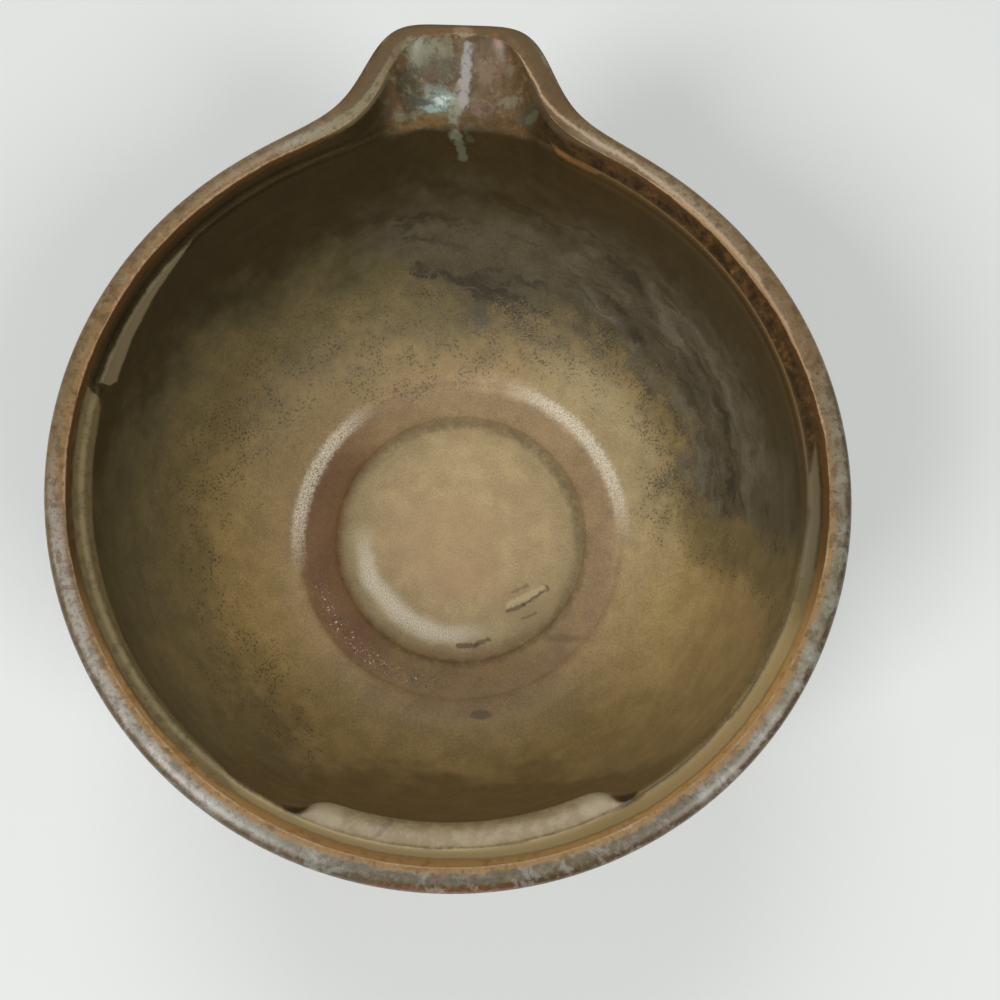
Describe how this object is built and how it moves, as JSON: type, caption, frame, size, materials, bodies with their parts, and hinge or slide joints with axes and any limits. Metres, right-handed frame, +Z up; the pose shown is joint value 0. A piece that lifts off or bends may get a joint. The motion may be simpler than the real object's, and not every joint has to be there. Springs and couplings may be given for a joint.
{
  "type": "spouted bowl",
  "caption": "Glazed stoneware spouted bowl (katakuchi) with a flared rim, a soft inner ridge, a pouring spout, a sunken well in the floor and a low foot ring.",
  "frame": {"origin": "On the table under the foot, below the middle of the whole bowl's box, spout included", "axes": "+Y from the bowl's centre towards the spout, +Z up through the open mouth, +X to the right seen from behind the bowl with the spout pointing away"},
  "size_m": [0.1514, 0.1708, 0.0739],
  "materials": {
    "clay": "matt, unglazed fired stoneware, warm brown with dark iron specks",
    "inner_glaze": "satin glaze, ochre brown round the floor, dark olive brown towards the rim",
    "outer_glaze": "satin glaze, mottled blue-grey and green-grey over brown"
  },
  "bodies": {
    "root": {"bowl_body": "clay", "spout": "clay", "foot_ring": "clay", "inner_glaze": "inner_glaze", "outer_glaze": "outer_glaze"}
  },
  "joints": []
}
